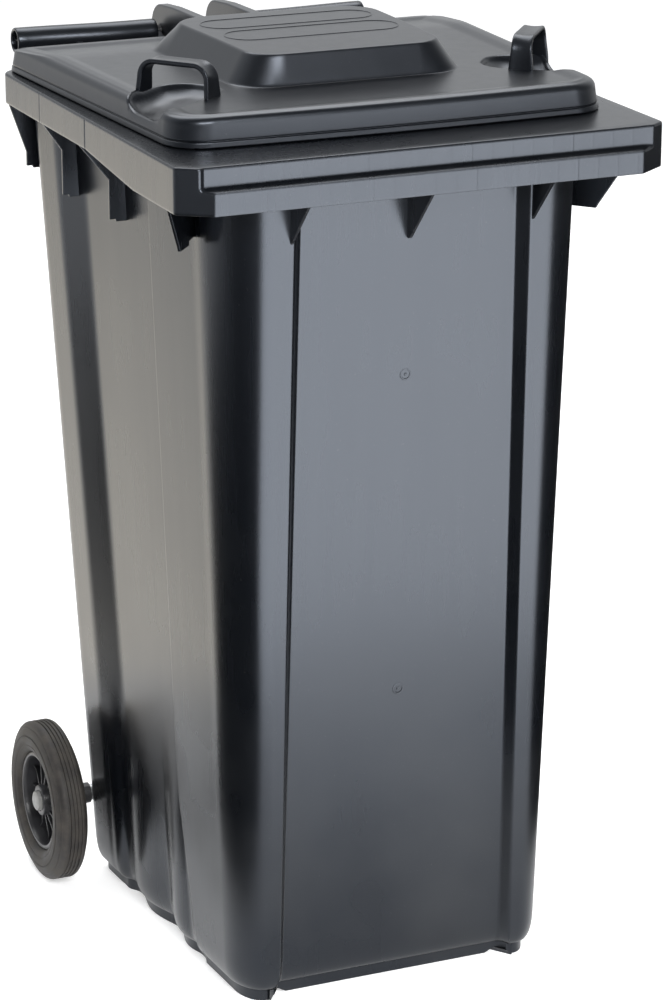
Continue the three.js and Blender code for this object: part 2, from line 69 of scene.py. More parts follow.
# ---------------------------------------------------------------- sizes, in millimetres
# Rim round the mouth
RIM_X = BODY_HIGH[0]
RIM_FRONT = BODY_LOW[1]
RIM_REAR = RIM_FRONT + 590
RIM_TOP = HINGE[2] - 10
RIM_SKIN = 4
RIM_FRONT_Z = RIM_TOP - 51       # lower edge of the deep front band
RIM_SIDE_Z = RIM_TOP - 36        # lower edge of the shallow side band
LEDGE_Z = RIM_TOP - 25           # where the front band steps back
LEDGE_RISE = 3
RIM_STEP = 13
CHAMFER = (36, 26)
SIDE_DROP = (-215, -65)          # the side band is deep in front of the first, shallow behind the second
RIB_PITCH = 24.5
SEAMS = (85, -66)                # mould seams across the side bands
MOUTH = (-258, 205)
MOUTH_HALF = (208, 236)
MOUTH_BEND = 30
CHAMFER_BEND, RIM_REAR_BEND = 7, 22

# Walls, given at z = 950 with their lean
WALL = 3.8
DATUM = 950
FRONT_Y, FRONT_LEAN = -300, 0.04
PANEL_HALF, PANEL_STEP, COLUMN_DEPTH = (140, 130), (8, 11), 14
FRONT_HALF, FRONT_HALF_LEAN = 224, 0.03
REAR_HALF, REAR_HALF_LEAN = 261, 0.055
REAR_Y, REAR_LEAN = 213, 0.017
FRONT_RADIUS, SIDE_STRETCH = (36, 60), 1.5
FOOT_WAVE = 6                    # how far the front panel's foot waves in and out
FRONT_CREASE = (-140, -110)      # where the side wall steps in, at the foot and higher up
STEP_FROM, STEP_TO = (64, 82), (115, 132)    # the slope back out near the rear, at the foot and at z = 950
REAR_RADIUS = 36
SIDE_INSET = 12
FLUTE_NOTCHES = (-143, -40, 81)
FLUTE_TOP = 300
FOOT_HEIGHT, FOOT_INSET, FOOT_ROUND = 16, 12, 36
HOLLOW_HALF, HOLLOW_Y, HOLLOW_TOP = 166, (-222, 138), 15
ARCH_X, ARCH_RADIUS = 145, 11
FLOOR_TOP = 23
HOUSING_HALF, HOUSING_Y, HOUSING_TOP = 190, 152, 128
FEED_MARKS = (747, 369)          # heights of the two marks on the front panel

# Gussets, brackets and ribs
GUSSET_THICK = 3.6
SIDE_GUSSETS = ((210, 265, 903, 920), (95, 261, 892, 945), (-25, 248, 888, 934))   # y, edge, bottom, top
CORNER_GUSSET, CORNER_GUSSET_TURN = (226, -224), math.radians(50)
AXLE_RIBS = (32, 95, 158)
AXLE_RIB_THICK = 4.4

# Lid
LID_FRONT = LID_LOW[1]
LID_BOTTOM = RIM_TOP + 0.8
LID_REAR = RIM_REAR + 6
LID_HALF = (LID_HIGH[0] - 19, LID_HIGH[0])
LID_BOW = 8
LID_RADII = (45, 26)
LID_SKIN = 3.4
LID_TOP = RIM_TOP + 35
SKIRT_ROUND = 9
PARTING_Z = RIM_TOP + 7.5
HUMP_TOP = RIM_TOP + 67
HUMP_BASE = ((139, 148), -142, 158, (42, 60))    # half widths front and rear, front, rear, radii
HUMP_CROWN = ((117, 125), -130, 121, (36, 48))
HUMP_SHIFT = 7
HUMP_MARKS, HUMP_MARK_HALF = ((32, 86), (-44, 12)), 106
GRIP_CENTRES = {-1: (-203, -130), 1: (229, -128)}
GRIP_ANGLE = math.radians(52)
GRIP_TOP = LID_HIGH[2]
GRIP_HALF = 46
POCKET_HALF, POCKET_INNER, POCKET_BEND = 37, -52, 30
GRIP_THICK, GRIP_BEND, GRIP_WIDTHS = 7, 17, (29.0, 23.5)
ARM_X, ARM_RADIUS = (29, 43), 31
BRACKETS = ((45, 53), (150, 158))
BAR_RADIUS, BAR_BORE, BAR_START, BAR_END, BAR_SWEEP = 16, 12.4, 52, 230, 10
BAR_CENTRE = (HINGE[1] - 4, HINGE[2] - 1)

# Wheels
TYRE_SEAT, RIM_SEAT, HUB_BORE = 61.9, 61.7, 13.3
TREAD_GROOVES, SPOKES, SPOKE_THICK = 4, 12, 2.6


# ---------------------------------------------------------------- helpers for shapes
def mix(a, b, t):
    return a + (b - a) * t


def smooth(value, low, high):
    t = np.clip((value - low) / (high - low), 0, 1)
    return t * t * (3 - 2 * t)


def ramp(t, soft):
    """0 below 0, 1 above 1, straight between, with the two bends rounded over +-soft."""
    low = np.clip(t + soft, 0, 2 * soft) ** 2 / (4 * soft) + np.clip(t - soft, 0, None)
    over = np.clip(t - 1 + soft, 0, 2 * soft) ** 2 / (4 * soft) + np.clip(t - 1 - soft, 0, None)
    return low - over


def spread(a, b, count, end=False):
    return np.linspace(a, b, count, endpoint=end)


def arc(cx, cy, radius, start, stop, count):
    angle = np.radians(np.linspace(start, stop, count))
    return np.stack([cx + radius * np.cos(angle), cy + radius * np.sin(angle)], -1)


def mirrored(half):
    """A closed outline from its right half, which runs from the front's middle to the rear's."""
    left = half[1:-1][::-1] * [-1, 1]
    return np.concatenate([half, left])


def normals(points):
    """Unit vectors pointing out of a closed anticlockwise outline, at its points."""
    along = np.roll(points, -1, 0) - np.roll(points, 1, 0)
    along /= np.linalg.norm(along, axis=1, keepdims=True)
    return np.stack([along[:, 1], -along[:, 0]], -1)


def inset(points, distance):
    return points - normals(points) * np.reshape(distance, (-1, 1))


def level(points, z):
    return np.column_stack([points, np.broadcast_to(z, len(points))])


def fillet(before, corner, after, radius, count):
    """Points of a round corner between two straight edges."""
    before, corner, after = (np.array(p, float) for p in (before, corner, after))
    u = (before - corner) / np.linalg.norm(before - corner)
    v = (after - corner) / np.linalg.norm(after - corner)
    half = math.acos(np.clip(u @ v, -1, 1)) / 2
    centre = corner + (u + v) / np.linalg.norm(u + v) * radius / math.sin(half)
    first = corner + u * radius / math.tan(half) - centre
    last = corner + v * radius / math.tan(half) - centre
    start = math.degrees(math.atan2(first[1], first[0]))
    turn = (math.degrees(math.atan2(last[1], last[0])) - start + 180) % 360 - 180
    return arc(*centre, radius, start, start + turn, count)


def quads(rows, columns, wrap_rows=False, wrap_columns=True, start=0):
    r = np.arange(rows if wrap_rows else rows - 1)[:, None]
    c = np.arange(columns if wrap_columns else columns - 1)[None, :]
    up, along = (r + 1) % rows, (c + 1) % columns
    faces = [r * columns + c, r * columns + along, up * columns + along, up * columns + c]
    return (np.stack(faces, -1).reshape(-1, 4) + start).tolist()


# ---------------------------------------------------------------- helpers for pieces
def piece(name, vertices, faces, material, body, slot, crease=32, replaces=(), bevel=0.0):
    mesh = bpy.data.meshes.new(name)
    mesh.from_pydata((np.asarray(vertices, float) * MM).tolist(), [], faces)
    mesh.update()
    mesh.shade_smooth()
    mesh.set_sharp_from_angle(angle=math.radians(crease))
    mesh.materials.append(material)
    obj = bpy.data.objects.new(name, mesh)
    bpy.context.scene.collection.objects.link(obj)
    if bevel:
        rounding = obj.modifiers.new("rounded edges", "BEVEL")
        rounding.width = bevel * MM
        rounding.segments = 3
        rounding.limit_method = "ANGLE"
        rounding.angle_limit = math.radians(30)
        rounding.harden_normals = True
    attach(obj, body)
    if replaces:
        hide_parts(*replaces)
    return obj


def shell(name, rings, *rest, **options):
    """A closed body through rings of points, closed by a fan at its first and last ring."""
    count = len(rings[0])
    vertices = np.concatenate([*rings, [rings[0].mean(0)], [rings[-1].mean(0)]])
    first, last = len(rings) * count, len(rings) * count + 1
    final = (len(rings) - 1) * count
    faces = quads(len(rings), count)
    faces += [[first, (i + 1) % count, i] for i in range(count)]
    faces += [[last, final + i, final + (i + 1) % count] for i in range(count)]
    return piece(name, vertices, faces, *rest, **options)


def turned(name, profile, material, body, slot, segments=128, **options):
    """A closed profile of (x, radius) points turned round the wheels' axis."""
    profile = np.asarray(profile, float)
    angle = np.linspace(0, 2 * np.pi, segments, endpoint=False)
    x = np.repeat(profile[:, :1], segments, 1)
    y = AXLE[1] + profile[:, 1:] * np.cos(angle)
    z = AXLE[2] + profile[:, 1:] * np.sin(angle)
    vertices = np.stack([x, y, z], -1).reshape(-1, 3)
    faces = quads(len(profile), segments, wrap_rows=True)
    return piece(name, vertices, faces, material, body, slot, **options)


class Plates:
    """Flat plates gathered into one mesh, each an outline pushed out along a third direction."""

    def __init__(self):
        self.vertices = []
        self.faces = []

    def add(self, outline, origin, across, up, thickness):
        across, up = np.array(across, float), np.array(up, float)
        out = np.cross(across, up)
        outline = np.asarray(outline, float)
        flat = np.array(origin, float) + outline[:, :1] * across + outline[:, 1:] * up
        start, n = len(self.vertices), len(outline)
        edges = np.roll(outline, -1, 0) - outline
        area = (outline[:, 0] * edges[:, 1] - outline[:, 1] * edges[:, 0]).sum()
        low, high = flat - out * thickness / 2, flat + out * thickness / 2
        if area < 0:
            low, high = low[::-1], high[::-1]
        self.vertices += [*low, *high]
        self.faces.append([start + i for i in range(n)][::-1])
        self.faces.append([start + n + i for i in range(n)])
        self.faces += [[start + i, start + (i + 1) % n, start + n + (i + 1) % n, start + n + i]
                       for i in range(n)]

    def side(self, outline, x0, x1):
        """A plate with its outline in Y and Z."""
        self.add(outline, ((x0 + x1) / 2, 0, 0), (0, 1, 0), (0, 0, 1), abs(x1 - x0))

    def build(self, name, *rest, **options):
        return piece(name, self.vertices, self.faces, *rest, **options)


# ---------------------------------------------------------------- materials
class Nodes:
    """A material's node tree with a Principled shader, and short calls for the nodes in front of it."""

    def __init__(self, name):
        self.material = bpy.data.materials.new(name)
        self.material.use_nodes = True
        self.tree = self.material.node_tree
        self.shader = self.tree.nodes["Principled BSDF"]
        self.place = self.node("ShaderNodeTexCoord").outputs["Object"]

    def node(self, kind, **settings):
        made = self.tree.nodes.new(kind)
        for key, value in settings.items():
            setattr(made, key, value)
        return made

    def link(self, output, socket):
        self.tree.links.new(output, socket)

    def noise(self, scale, detail=2.0, stretch=(1, 1, 1), roughness=0.5):
        mapping = self.node("ShaderNodeMapping")
        mapping.inputs["Scale"].default_value = stretch
        self.link(self.place, mapping.inputs["Vector"])
        noise = self.node("ShaderNodeTexNoise")
        noise.inputs["Scale"].default_value = scale
        noise.inputs["Detail"].default_value = detail
        noise.inputs["Roughness"].default_value = roughness
        self.link(mapping.outputs["Vector"], noise.inputs["Vector"])
        return noise.outputs["Fac"]

    def span(self, value, from_low, from_high, to_low, to_high):
        node = self.node("ShaderNodeMapRange")
        limits = {"From Min": from_low, "From Max": from_high, "To Min": to_low, "To Max": to_high}
        for key, number in limits.items():
            node.inputs[key].default_value = number
        self.link(value, node.inputs["Value"])
        return node.outputs["Result"]

    def math(self, operation, a, b):
        node = self.node("ShaderNodeMath", operation=operation)
        for socket, value in zip(node.inputs, (a, b)):
            if isinstance(value, (int, float)):
                socket.default_value = value
            else:
                self.link(value, socket)
        return node.outputs[0]

    def blend(self, factor, a, b):
        node = self.node("ShaderNodeMix", data_type="RGBA")
        self.link(factor, node.inputs["Factor"])
        for key, value in (("A", a), ("B", b)):
            socket = next(s for s in node.inputs if s.name == key and s.type == "RGBA")
            if isinstance(value, tuple):
                socket.default_value = (*value, 1)
            else:
                self.link(value, socket)
        return next(s for s in node.outputs if s.type == "RGBA")

    def axis(self, index):
        split = self.node("ShaderNodeSeparateXYZ")
        self.link(self.place, split.inputs[0])
        return split.outputs[index]

    def bump(self, height, strength, distance, after=None):
        node = self.node("ShaderNodeBump")
        node.inputs["Strength"].default_value = strength
        node.inputs["Distance"].default_value = distance
        self.link(height, node.inputs["Height"])
        if after:
            self.link(after, node.inputs["Normal"])
        return node.outputs["Normal"]

    def finish(self, colour=None, roughness=None, normal=None):
        for value, key in ((colour, "Base Color"), (roughness, "Roughness"), (normal, "Normal")):
            if value is not None:
                self.link(value, self.shader.inputs[key])
        return self.material


def polyethylene(name, colour, dust, roughness, specular=0.5):
    """Moulded polyethylene: orange peel, flow streaks down the walls, specks, and dust low down."""
    n = Nodes(name)
    n.shader.inputs["Specular IOR Level"].default_value = specular
    n.shader.inputs["Specular Tint"].default_value = GLOSS_TINT
    cloud = n.noise(5, 3)
    streak = n.noise(60, 3, (1, 1, 0.03))
    peel = n.noise(700, 2)
    specks = n.noise(420, 1)
    low_down = n.span(n.axis(2), 0.0, 0.45, 1.0, 0.15)
    dirt = n.math("MULTIPLY", low_down, n.span(cloud, 0.42, 0.7, 0.0, 0.35))
    tinted = n.blend(n.span(streak, 0.35, 0.7, 0.0, 1.0), colour, tuple(c * 1.1 for c in colour))
    dusty = n.blend(dirt, tinted, dust)
    speckled = n.blend(n.span(specks, 0.745, 0.79, 0.0, 0.4), dusty, tuple(c * 1.2 for c in dust))
    rough = n.math("ADD", n.span(streak, 0.3, 0.7, roughness - 0.01, roughness + 0.012),
                   n.math("MULTIPLY", dirt, 0.5))
    normal = n.bump(peel, 0.12, 0.0004)
    normal = n.bump(streak, 0.03, 0.0012, normal)
    return n.finish(speckled, rough, normal)


def black_nylon(name, colour, roughness):
    """Moulded nylon with a fine grain and slightly uneven gloss."""
    n = Nodes(name)
    grain = n.noise(900, 2)
    cloud = n.noise(30, 3)
    shade = n.blend(n.span(cloud, 0.4, 0.7, 0.0, 1.0), colour, tuple(c * 2.0 for c in colour))
    rough = n.span(cloud, 0.3, 0.7, roughness - 0.06, roughness + 0.06)
    return n.finish(shade, rough, n.bump(grain, 0.15, 0.0003))


def tyre_rubber():
    """Solid rubber with dust rubbed into it."""
    n = Nodes("tyre_rubber")
    n.shader.inputs["Specular IOR Level"].default_value = 0.35
    dust = n.noise(45, 4, roughness=0.65)
    grit = n.noise(1100, 2)
    black, brown = (0.022, 0.020, 0.019), (0.075, 0.066, 0.056)
    shade = n.blend(n.span(dust, 0.38, 0.72, 0.0, 0.75), black, brown)
    return n.finish(shade, n.span(dust, 0.3, 0.7, 0.5, 0.78), n.bump(grit, 0.25, 0.0003))


def zinc_steel():
    """Zinc plated steel with faint scratches round the axle."""
    n = Nodes("zinc_steel")
    n.shader.inputs["Metallic"].default_value = 1.0
    spangle = n.noise(160, 2)
    scratches = n.noise(90, 2, (0.2, 8, 8))
    shade = n.blend(n.span(spangle, 0.35, 0.65, 0.0, 1.0), (0.42, 0.43, 0.44), (0.6, 0.61, 0.62))
    return n.finish(shade, n.span(scratches, 0.3, 0.7, 0.28, 0.5), n.bump(scratches, 0.1, 0.0002))


def pale_floor():
    """The floor, glowing a little so that it comes out nearly white."""
    n = Nodes("pale_floor")
    n.shader.inputs["Specular IOR Level"].default_value = 0.0
    grain = n.noise(8, 2)
    shade = n.blend(n.span(grain, 0.4, 0.6, 0.0, 1.0), (0.80, 0.80, 0.80), (0.804, 0.804, 0.804))
    n.shader.inputs["Emission Color"].default_value = (1, 1, 1, 1)
    n.shader.inputs["Emission Strength"].default_value = FLOOR_GLOW
    return n.finish(shade, n.span(grain, 0.3, 0.7, 0.85, 0.95))


FLOOR_GLOW = 0.55
ANTHRACITE = (0.0024, 0.0030, 0.0043)
GLOSS_TINT = (0.80, 0.87, 1.0, 1)
DUST = (0.045, 0.044, 0.042)
bin_plastic = polyethylene("bin_polyethylene", ANTHRACITE, DUST, 0.27)
lid_plastic = polyethylene("lid_polyethylene", ANTHRACITE, DUST, 0.30)
nylon = black_nylon("black_nylon", (0.010, 0.010, 0.011), 0.42)
wheel_nylon = black_nylon("wheel_nylon", (0.016, 0.016, 0.018), 0.38)
cap_grey = black_nylon("cap_grey", (0.16, 0.16, 0.155), 0.45)
rubber = tyre_rubber()
steel = zinc_steel()


# ---------------------------------------------------------------- body walls
def wall_outline(z):
    """The walls' outer outline at a height, without the axle housing."""
    drop = DATUM - z
    share = z / DATUM
    front_y = FRONT_Y + drop * FRONT_LEAN
    column_y = front_y - COLUMN_DEPTH
    front_half = FRONT_HALF - drop * FRONT_HALF_LEAN
    rear_half = REAR_HALF - drop * REAR_HALF_LEAN
    rear_y = REAR_Y - drop * REAR_LEAN
    radius = mix(*FRONT_RADIUS, share)
    side_from, side_to = column_y + radius * SIDE_STRETCH, rear_y - REAR_RADIUS
    crease = mix(*FRONT_CREASE, smooth(z, 20, 240))
    step = (mix(*STEP_FROM, share), mix(*STEP_TO, share))

    panel, width = mix(*PANEL_HALF, share), mix(*PANEL_STEP, share)
    x = np.concatenate([spread(0, panel - 4, 22), spread(panel - 4, panel + 15, 20),
                        spread(panel + 15, front_half - radius, 6)])
    front = np.stack([x, front_y - COLUMN_DEPTH * ramp((x - panel) / width, 0.18)], -1)

    y = np.concatenate([spread(side_from, crease - 3, 12), spread(crease - 3, crease + 17, 20),
                        spread(crease + 17, step[0] - 8, 60), spread(step[0] - 8, step[1] + 8, 22),
                        spread(step[1] + 8, side_to, 8)])[1:]
    plane = mix(front_half, rear_half, (y - side_from) / (side_to - side_from))
    sunk = ramp((y - crease) / mix(24, 11, smooth(z, 10, 260)), 0.1)
    sunk = sunk * (1 - ramp((y - step[0]) / (step[1] - step[0]), 0.12))
    bays = [crease, *FLUTE_NOTCHES[1:], step[1] + 4]
    lobe = np.zeros_like(y)
    for low, high in zip(bays[:-1], bays[1:]):
        inside = (y >= low) & (y <= high)
        lobe[inside] = (0.5 - 0.5 * np.cos(2 * np.pi * (y[inside] - low) / (high - low))) ** 0.6
    waves = 1 - smooth(z, 26, FLUTE_TOP)
    depth = SIDE_INSET * sunk * (1 - waves * lobe)
    side = np.stack([plane - depth, y], -1)

    front_arc = arc(front_half - radius, 0, radius, -90, 0, 22)
    front_arc[:, 1] = side_from + front_arc[:, 1] * SIDE_STRETCH
    rear_arc = arc(rear_half - REAR_RADIUS, side_to, REAR_RADIUS, 0, 90, 16)
    corner = rear_half - REAR_RADIUS
    edge = min(198, corner - 2)
    back = np.stack([np.concatenate([spread(corner, edge, 3)[1:], spread(edge, edge - 18, 14),
                                     spread(edge - 18, 0, 12, True)]), np.zeros(28)], -1)
    back[:, 1] = rear_y
    outline = mirrored(np.concatenate([front, front_arc, side, rear_arc, back]))
    x, y = outline.T
    wave = np.exp(-((x + 60) / 55) ** 2) - 0.8 * np.exp(-((x - 70) / 42) ** 2)
    wave *= FOOT_WAVE * (1 - smooth(z, 12, 170)) * (y < column_y + 1)
    return outline - np.stack([np.zeros(len(x)), wave], -1)


def housed(points, z, grow=0.0):
    """The outline with its rear pushed in where the axle housing is."""
    x, y = points.T
    across = 1 - ramp((np.abs(x) - HOUSING_HALF - grow + 4) / 5, 0.3)
    high = 1 - ramp((z - HOUSING_TOP - grow + 2) / 5, 0.3)
    pushed = mix(y, HOUSING_Y - grow, across * high)
    return np.stack([x, np.where(y > HOUSING_Y - grow, pushed, y)], -1)


def toward_box(points, half, y0, y1):
    """Each point moved along its ray to the middle until it lies on a box outline."""
    middle = np.array([0, (y0 + y1) / 2])
    ray = points - middle
    size = np.maximum(np.abs(ray[:, 0]) / half, np.abs(ray[:, 1]) / ((y1 - y0) / 2))
    return middle + ray / size[:, None]


def body_walls():
    foot = housed(inset(wall_outline(0), FOOT_INSET), 0)
    off = np.abs(np.abs(foot[:, 0]) - ARCH_X) / ARCH_RADIUS
    arch = np.where(foot[:, 1] < HOLLOW_Y[0], 7 * np.sqrt(np.clip(1 - off ** 2, 0, 1)), 0)
    hollow = toward_box(foot, HOLLOW_HALF, *HOLLOW_Y)
    rings = [level(hollow * 0.5, HOLLOW_TOP), level(hollow, HOLLOW_TOP), level(hollow, arch + 0.6),
             level(mix(hollow, foot, 0.04), arch), level(mix(hollow, foot, 0.96), arch),
             level(foot, np.maximum(arch, 0.8)), level(foot, FOOT_HEIGHT - 1)]
    for angle in np.radians(spread(0, 90, 10, True)):
        z = FOOT_HEIGHT + FOOT_ROUND * (1 - math.cos(angle))
        distance = (FOOT_INSET - 2.5) * (1 - math.sin(angle)) ** 1.3
        rings.append(level(housed(inset(wall_outline(z), distance), z), z))
    heights = [56, 65, 75, 85, 96, 107, 116, *np.arange(120, 136, 1.6), 142, *np.arange(152, 330, 13),
               *np.arange(345, 1000, 55), RIM_TOP - 4]
    rings += [level(housed(wall_outline(z), z), z) for z in heights]
    rings += [level(housed(inset(wall_outline(z), WALL), z, WALL), z) for z in heights[::-1]]
    for angle in np.radians(spread(15, 90, 7, True)):
        z = FLOOR_TOP + 25 * (1 - math.sin(angle))
        distance = WALL + 14 * (1 - math.cos(angle))
        rings.append(level(housed(inset(wall_outline(z), distance), z, WALL), z))
    middle = np.array([0, (HOLLOW_Y[0] + HOLLOW_Y[1]) / 2, FLOOR_TOP])
    rings += [mix(middle, rings[-1], t) for t in (0.75, 0.4, 0.1)]
    shell("body_walls", rings, bin_plastic, "bin", "bin_plastic", crease=35, replaces=["body"])


def injection_marks():
    """The two round feed marks on the front panel: a low ring round a small nub."""
    for z in FEED_MARKS:
        drop = DATUM - z
        face = FRONT_Y + drop * FRONT_LEAN
        profile = [(0.1, -0.9), (1.4, -0.7), (2.0, 0.3), (4.6, 0.3), (5.2, -0.55), (6.4, -0.5), (7.2, 0.6)]
        angle = np.linspace(0, 2 * np.pi, 40, endpoint=False)
        rings = [np.stack([r * np.cos(angle), np.full(40, face + depth), z + r * np.sin(angle)], -1)
                 for r, depth in profile]
        shell(f"feed_mark_{z}", rings, bin_plastic, "bin", "bin_plastic", replaces=["body"])


# ---------------------------------------------------------------- rim
def rim_path():
    """The rim's outer outline, with close points along the ribbed front."""
    ends = [(0, RIM_FRONT), (RIM_X - CHAMFER[0], RIM_FRONT), (RIM_X, RIM_FRONT + CHAMFER[1]),
            (RIM_X, RIM_REAR), (0, RIM_REAR)]
    first, second = fillet(*ends[0:3], CHAMFER_BEND, 7), fillet(*ends[1:4], CHAMFER_BEND, 7)
    third = fillet(*ends[2:5], RIM_REAR_BEND, 14)
    parts = [np.stack([spread(0, first[0][0], 200), np.full(200, RIM_FRONT)], -1), first,
             first[-1] + (second[0] - first[-1]) * spread(0, 1, 26)[1:, None], second,
             second[-1] + (third[0] - second[-1]) * spread(0, 1, 330)[1:, None], third,
             third[-1] + (np.array(ends[-1]) - third[-1]) * spread(0, 1, 40, True)[1:, None]]
    return mirrored(np.concatenate(parts))


def mouth_at(points):
    """For each outer point, the mouth's edge on the same ray from the middle."""
    bend = MOUTH_BEND
    half = np.concatenate([[[0, MOUTH[0]]], arc(MOUTH_HALF[0] - bend, MOUTH[0] + bend, bend, -90, 0, 12),
                           arc(MOUTH_HALF[1] - bend, MOUTH[1] - bend, bend, 0, 90, 12), [[0, MOUTH[1]]]])
    edge = mirrored(half)
    closed = np.concatenate([edge, edge[:1]])
    dense = np.concatenate([a + (b - a) * spread(0, 1, 24)[:, None]
                            for a, b in zip(closed[:-1], closed[1:])])
    middle = np.array([0, (MOUTH[0] + MOUTH[1]) / 2])

    def polar(p):
        ray = p - middle
        return np.arctan2(ray[:, 1], ray[:, 0]), np.hypot(*ray.T)

    edge_angle, edge_radius = polar(dense)
    order = np.argsort(edge_angle)
    angle, _ = polar(points)
    radius = np.interp(angle, edge_angle[order], edge_radius[order], period=2 * np.pi)
    return middle + np.stack([np.cos(angle), np.sin(angle)], -1) * radius[:, None]


def rim():
    """The deep rim: bands with fine ribs, a step along the front, the flat top and the mouth's lip."""
    path = rim_path()
    x, y = path.T
    out = normals(path)
    at_front = y < RIM_FRONT + CHAMFER[1] + 4
    shown = smooth(x, -270, -261) * (1 - smooth(x, RIM_X - 11, RIM_X - 6)) * at_front
    setback = np.clip(RIM_FRONT + RIM_STEP - y, 0, RIM_STEP) * shown
    recess = setback / RIM_STEP
    rising = np.clip((y - SIDE_DROP[0]) / (SIDE_DROP[1] - SIDE_DROP[0]), 0, 1)
    low = mix(RIM_FRONT_Z, RIM_SIDE_Z, rising)
    number = np.round(x / RIB_PITCH)
    rib = np.exp(-((x - number * RIB_PITCH) / 0.9) ** 2) * np.where(number % 5 == 2, 0.32, 0.16)
    rib = np.where(at_front & (np.abs(x) < RIM_X - CHAMFER[0] - 4), rib, 0)
    seam = sum(np.exp(-((y - place) / 0.9) ** 2) for place in SEAMS) * 0.7 * (np.abs(x) > RIM_X - 2)
    face = seam - rib
    ledge = np.full(len(x), float(LEDGE_Z))
    rearward = np.array([0, 1])

    def ring(distance, z, share=0.0):
        moved = path - out * np.reshape(distance * np.ones(len(path)), (-1, 1))
        return level(moved + rearward * (setback * share)[:, None], z)

    mouth = mouth_at(path)
    edge = path - out * 2.4 + rearward * setback[:, None]
    rings = [ring(RIM_SKIN, low + 0.5), ring(RIM_SKIN - 0.6, low), ring(1.2, low),
             ring(face + 0.35, low + 0.4), ring(face, low + 1.3), ring(face, low + 3),
             ring(face, mix(low, ledge, 0.5)), ring(face, ledge - 2.6), ring(face, ledge - 1.6),
             ring(face + 0.3 * recess, ledge - 0.5), ring(face + 0.9 * recess, ledge + 0.2 * recess, 0.04),
             ring(face, ledge + 0.55 * LEDGE_RISE, 0.5), ring(face, ledge + LEDGE_RISE - 0.2, 0.9),
             ring(face, ledge + LEDGE_RISE + 0.3, 0.97), ring(face, ledge + LEDGE_RISE + 1.0, 1),
             ring(face, ledge + LEDGE_RISE + 2.2, 1), ring(face, RIM_TOP - 8, 1),
             ring(face, RIM_TOP - 3.2, 1), ring(face, RIM_TOP - 2.2, 1), ring(0.6, RIM_TOP - 0.8, 1),
             ring(1.4, RIM_TOP - 0.15, 1), level(edge, RIM_TOP)]
    rings += [level(mix(edge, mouth, t), RIM_TOP) for t in (0.12, 0.3, 0.5, 0.7, 0.88)]
    toward = (edge - mouth) / np.linalg.norm(edge - mouth, axis=1, keepdims=True)
    lip = [(1.2, 0), (0.3, -0.4), (0, -1.4), (0, -9), (0.6, -9.8), (2.2, -9.8), (2.8, -9), (3, -5),
           (6, -4.4), (14, -4)]
    rings += [level(mouth + toward * inward, RIM_TOP + down) for inward, down in lip]
    rings += [ring(RIM_SKIN + 3, RIM_TOP - 4, 1), ring(RIM_SKIN, RIM_TOP - 7, 1),
              ring(RIM_SKIN, ledge + 2, 1), ring(RIM_SKIN, ledge - 4)]
    vertices = np.concatenate(rings)
    faces = quads(len(rings), len(path), wrap_rows=True)
    piece("comb_rim", vertices, faces, bin_plastic, "bin", "bin_plastic", crease=40, replaces=["body"])


# ---------------------------------------------------------------- gussets, brackets, ribs
def gussets():
    plates = Plates()
    buried = LEDGE_Z - 3
    wall = FRONT_Y + 1
    front = [(RIM_FRONT + 3, buried), (RIM_FRONT + 3, RIM_FRONT_Z + 1), (wall - 6, 906),
             (wall - 2, 904), (wall + 3, 904), (wall + 3, buried)]
    for x in (-ARCH_X, 0, ARCH_X):
        plates.side(front, x - GUSSET_THICK / 2, x + GUSSET_THICK / 2)
    for y, edge, bottom, top in SIDE_GUSSETS:
        for side in (-1, 1):
            outline = [(edge - 22, buried), (edge - 22, bottom - 3), (edge - 8, bottom - 3),
                       (edge - 7, bottom), (edge, bottom), (edge, top), (RIM_X - 4, RIM_SIDE_Z),
                       (RIM_X - 4, buried)]
            plates.add(outline, (0, y, 0), (side, 0, 0), (0, 0, 1), GUSSET_THICK)
    x, y = CORNER_GUSSET
    away = (math.cos(CORNER_GUSSET_TURN), -math.sin(CORNER_GUSSET_TURN))
    outline = [(-8, buried), (-8, 910), (12, 909), (13, 904), (42, 904), (44, 908), (82, RIM_FRONT_Z),
               (82, buried)]
    for side in (-1, 1):
        plates.add(outline, (side * x, y, 0), (side * away[0], away[1], 0), (0, 0, 1), GUSSET_THICK)
    plates.build("rim_gussets", bin_plastic, "bin", "bin_plastic", bevel=0.7, replaces=["body"])


def rear_brackets():
    plates = Plates()
    for x0, x1 in BRACKETS:
        for side in (-1, 1):
            outline = [(REAR_Y - 6, 1005), (REAR_Y - 6, 940), (REAR_Y + 4, 940),
                       *arc(HINGE[1] - 2, HINGE[2] - 1, 14, -70, 30, 10), (HINGE[1] - 18, HINGE[2] - 4),
                       (RIM_REAR + 14, RIM_TOP - 22), (RIM_REAR - 1, RIM_TOP - 14), (RIM_REAR - 1, 1005)]
            plates.side(outline, side * x0, side * x1)
    plates.build("handle_brackets", bin_plastic, "bin", "bin_plastic", bevel=1.6, replaces=["body"])


def axle_ribs():
    plates = Plates()
    outline = [(HOUSING_Y - 1, 1), (AXLE[1] - 5, 1), (AXLE[1] + 16, HOUSING_TOP - 30),
               (AXLE[1] + 16, HOUSING_TOP + 2), (HOUSING_Y - 1, HOUSING_TOP + 2)]
    for x in (*[-place for place in AXLE_RIBS[::-1]], *AXLE_RIBS):
        plates.side(outline, x - AXLE_RIB_THICK / 2, x + AXLE_RIB_THICK / 2)
    plates.build("axle_ribs", bin_plastic, "bin", "bin_plastic", bevel=0.7, replaces=["body"])


